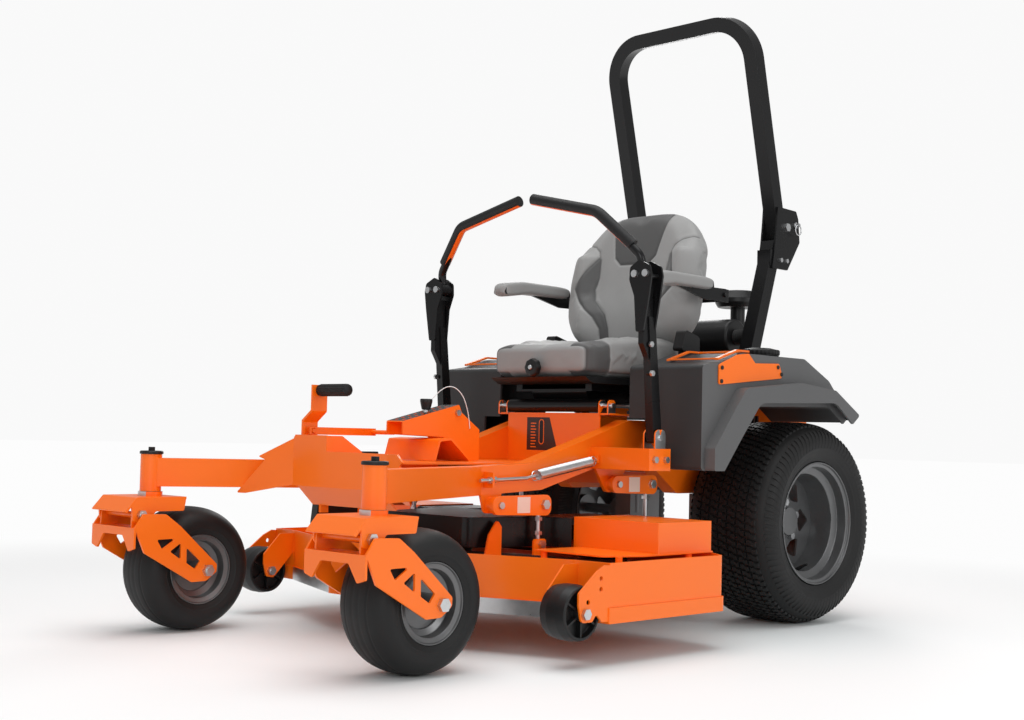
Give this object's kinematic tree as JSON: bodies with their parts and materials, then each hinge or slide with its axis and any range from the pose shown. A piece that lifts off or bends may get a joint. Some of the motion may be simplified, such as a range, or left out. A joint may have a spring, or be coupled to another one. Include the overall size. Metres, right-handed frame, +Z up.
{
  "type": "zero turn mower",
  "caption": "Orange zero-turn mower with floating deck, suspended front casters, twin lap bars, sprung seat and a folding roll bar.",
  "frame": {"origin": "on the ground, in the machine's middle plane, halfway along its length", "axes": "+Z up, +Y towards the machine's rear, +X towards its left side as its driver sits"},
  "size_m": [1.3837, 2.1685, 1.9031],
  "materials": {
    "orange_coat": "gloss",
    "black_coat": "satin",
    "grey_plastic": "matte",
    "black_plastic": "matte",
    "tyre_rubber": "matte",
    "grip_rubber": "matte",
    "rim_paint": "satin",
    "zinc": "satin",
    "engine_metal": "satin",
    "seat_vinyl": "matte",
    "blade_steel": "satin"
  },
  "bodies": {
    "chassis": {"frame_rails": "orange_coat", "front_arms": "orange_coat", "nose_pan": "orange_coat", "lift_tower": "orange_coat", "pin_lanyard": "zinc", "seat_riser": "orange_coat", "rear_bumper": "orange_coat", "transaxles": "black_coat", "lift_springs": "zinc", "frame_hardware": "zinc", "engine_block": "engine_metal", "engine_shroud": "black_plastic", "air_intake": "black_plastic", "left_fender": "grey_plastic", "right_fender": "grey_plastic", "badge_plates": "orange_coat", "rops_posts": "black_coat"},
    "deck": {"deck_shell": "orange_coat", "belt_covers": "orange_coat", "centre_cover": "black_plastic", "spindle_housings": "engine_metal", "deck_belt": "grip_rubber", "deck_hangers": "zinc"},
    "front_lift": {"front_lift_arms": "orange_coat"},
    "rear_lift": {"rear_lift_arms": "orange_coat"},
    "pedal": {"foot_pedal": "orange_coat"},
    "link": {"pedal_link": "orange_coat"},
    "stop_pin": {"height_pin": "black_plastic"},
    "chute": {"discharge_chute": "grip_rubber"},
    "hoop": {"rops_hoop": "black_coat"},
    "platform": {"seat_platform": "black_coat"},
    "seat": {"seat_pan": "black_plastic", "seat_cushion": "seat_vinyl", "seat_back": "seat_vinyl"},
    "load_knob": {"weight_knob": "black_plastic"},
    "left_swivel": {"left_caster_bracket": "orange_coat"},
    "left_fork": {"left_caster_fork": "orange_coat"},
    "left_caster": {"left_caster_tyre": "tyre_rubber", "left_caster_rim": "rim_paint"},
    "left_wheel": {"left_rear_tyre": "tyre_rubber", "left_rear_rim": "rim_paint"},
    "left_roller": {"left_scalp_wheel": "black_plastic"},
    "left_stick": {"left_lever": "black_coat"},
    "left_lap": {"left_lap_bar": "black_coat"},
    "left_lock": {"left_rops_pin": "zinc"},
    "left_arm": {"left_armrest": "seat_vinyl"},
    "right_swivel": {"right_caster_bracket": "orange_coat"},
    "right_fork": {"right_caster_fork": "orange_coat"},
    "right_caster": {"right_caster_tyre": "tyre_rubber", "right_caster_rim": "rim_paint"},
    "right_wheel": {"right_rear_tyre": "tyre_rubber", "right_rear_rim": "rim_paint"},
    "right_roller": {"right_scalp_wheel": "black_plastic"},
    "right_stick": {"right_lever": "black_coat"},
    "right_lap": {"right_lap_bar": "black_coat"},
    "right_lock": {"right_rops_pin": "zinc"},
    "right_arm": {"right_armrest": "seat_vinyl"},
    "left_cutter": {"left_blade": "blade_steel"},
    "centre_cutter": {"centre_blade": "blade_steel"},
    "right_cutter": {"right_blade": "blade_steel"}
  },
  "joints": [
    {"name": "left_caster_swivel", "type": "hinge", "parent": "chassis", "child": "left_swivel", "pos_m": [0.461, -0.962, 0.42], "axis": [0, 0, 1], "continuous": true},
    {"name": "left_fork_travel", "type": "hinge", "parent": "left_swivel", "child": "left_fork", "pos_m": [0.461, -1.038, 0.314], "axis": [1, 0, 0], "range_deg": [0, 3], "stiffness_Nm_per_rad": 3000, "springref_deg": -8.59},
    {"name": "left_caster_spin", "type": "hinge", "parent": "left_fork", "child": "left_caster", "pos_m": [0.461, -0.8445, 0.165], "axis": [1, 0, 0], "continuous": true},
    {"name": "left_wheel_spin", "type": "hinge", "parent": "chassis", "child": "left_wheel", "pos_m": [0.402, 0.705, 0.301], "axis": [1, 0, 0], "continuous": true},
    {"name": "left_roller_spin", "type": "hinge", "parent": "deck", "child": "left_roller", "pos_m": [0.619, -0.485, 0.129], "axis": [1, 0, 0], "continuous": true},
    {"name": "left_lever_swing", "type": "hinge", "parent": "chassis", "child": "left_stick", "pos_m": [0.42, 0.065, 0.545], "axis": [1, 0, 0], "range_deg": [-12, 12], "stiffness_Nm_per_rad": 120},
    {"name": "left_lap_swing", "type": "hinge", "parent": "left_stick", "child": "left_lap", "pos_m": [0.401, 0.02, 0.991], "axis": [0, 1, 0], "range_deg": [0, 60]},
    {"name": "left_lock_pull", "type": "slide", "parent": "chassis", "child": "left_lock", "axis": [1, 0, 0], "range_m": [0, 0.018]},
    {"name": "left_armrest_fold", "type": "hinge", "parent": "seat", "child": "left_arm", "pos_m": [0.292, 0.54, 0.985], "axis": [-1, 0, 0], "range_deg": [0, 90]},
    {"name": "right_caster_swivel", "type": "hinge", "parent": "chassis", "child": "right_swivel", "pos_m": [-0.461, -0.962, 0.42], "axis": [0, 0, 1], "continuous": true},
    {"name": "right_fork_travel", "type": "hinge", "parent": "right_swivel", "child": "right_fork", "pos_m": [-0.461, -1.038, 0.314], "axis": [1, 0, 0], "range_deg": [0, 3], "stiffness_Nm_per_rad": 3000, "springref_deg": -8.59},
    {"name": "right_caster_spin", "type": "hinge", "parent": "right_fork", "child": "right_caster", "pos_m": [-0.461, -0.8445, 0.165], "axis": [1, 0, 0], "continuous": true},
    {"name": "right_wheel_spin", "type": "hinge", "parent": "chassis", "child": "right_wheel", "pos_m": [-0.402, 0.705, 0.301], "axis": [1, 0, 0], "continuous": true},
    {"name": "right_roller_spin", "type": "hinge", "parent": "deck", "child": "right_roller", "pos_m": [-0.619, -0.485, 0.129], "axis": [1, 0, 0], "continuous": true},
    {"name": "right_lever_swing", "type": "hinge", "parent": "chassis", "child": "right_stick", "pos_m": [-0.42, 0.065, 0.545], "axis": [1, 0, 0], "range_deg": [-12, 12], "stiffness_Nm_per_rad": 120},
    {"name": "right_lap_swing", "type": "hinge", "parent": "right_stick", "child": "right_lap", "pos_m": [-0.401, 0.02, 0.991], "axis": [0, -1, 0], "range_deg": [0, 60]},
    {"name": "right_lock_pull", "type": "slide", "parent": "chassis", "child": "right_lock", "axis": [-1, 0, 0], "range_m": [0, 0.018]},
    {"name": "right_armrest_fold", "type": "hinge", "parent": "seat", "child": "right_arm", "pos_m": [-0.292, 0.54, 0.985], "axis": [-1, 0, 0], "range_deg": [0, 90]},
    {"name": "rops_fold", "type": "hinge", "parent": "chassis", "child": "hoop", "pos_m": [0, 0.853, 1.228], "axis": [-1, 0, 0], "range_deg": [0, 120]},
    {"name": "seat_tilt", "type": "hinge", "parent": "chassis", "child": "platform", "pos_m": [0, 0.115, 0.634], "axis": [1, 0, 0], "range_deg": [0, 12]},
    {"name": "seat_slide", "type": "slide", "parent": "platform", "child": "seat", "axis": [0, 1, 0], "range_m": [-0.03, 0.03]},
    {"name": "weight_adjust", "type": "hinge", "parent": "seat", "child": "load_knob", "pos_m": [0, 0.015, 0.742], "axis": [0, 1, 0], "continuous": true},
    {"name": "deck_lift", "type": "slide", "parent": "chassis", "child": "deck", "axis": [0, 0, 1], "range_m": [-0.05, 0.03]},
    {"name": "front_arms_lift", "type": "hinge", "parent": "chassis", "child": "front_lift", "pos_m": [0, -0.377, 0.36], "axis": [1, 0, 0], "range_deg": [-17.6, 10.6]},
    {"name": "rear_arms_lift", "type": "hinge", "parent": "chassis", "child": "rear_lift", "pos_m": [0, 0.093, 0.411], "axis": [1, 0, 0], "range_deg": [-19.9, 12]},
    {"name": "pedal_push", "type": "hinge", "parent": "chassis", "child": "pedal", "pos_m": [-0.15, -0.66, 0.498], "axis": [1, 0, 0], "range_deg": [-14.5, 8.8]},
    {"name": "link_travel", "type": "slide", "parent": "chassis", "child": "link", "axis": [0, 1, 0], "range_m": [-0.008, 0.012]},
    {"name": "height_pin_lift", "type": "slide", "parent": "chassis", "child": "stop_pin", "axis": [0, 0, 1], "range_m": [0, 0.03]},
    {"name": "chute_fold", "type": "hinge", "parent": "deck", "child": "chute", "pos_m": [-0.682, -0.12, 0.228], "axis": [0, 1, 0], "range_deg": [-98, 0]},
    {"name": "left_blade_spin", "type": "hinge", "parent": "deck", "child": "left_cutter", "pos_m": [0.425, -0.155, 0.2], "axis": [0, 0, 1], "continuous": true},
    {"name": "centre_blade_spin", "type": "hinge", "parent": "deck", "child": "centre_cutter", "pos_m": [0, -0.295, 0.2], "axis": [0, 0, 1], "continuous": true},
    {"name": "right_blade_spin", "type": "hinge", "parent": "deck", "child": "right_cutter", "pos_m": [-0.425, -0.155, 0.2], "axis": [0, 0, 1], "continuous": true}
  ],
  "couplings": [
    {"joint": "front_arms_lift", "follows": "deck_lift", "rad_per_m": 6.0606},
    {"joint": "rear_arms_lift", "follows": "deck_lift", "rad_per_m": 6.8966},
    {"joint": "pedal_push", "follows": "deck_lift", "rad_per_m": 5},
    {"joint": "link_travel", "follows": "deck_lift", "ratio": -0.22},
    {"joint": "centre_blade_spin", "follows": "left_blade_spin", "ratio": 1},
    {"joint": "right_blade_spin", "follows": "left_blade_spin", "ratio": 1}
  ]
}
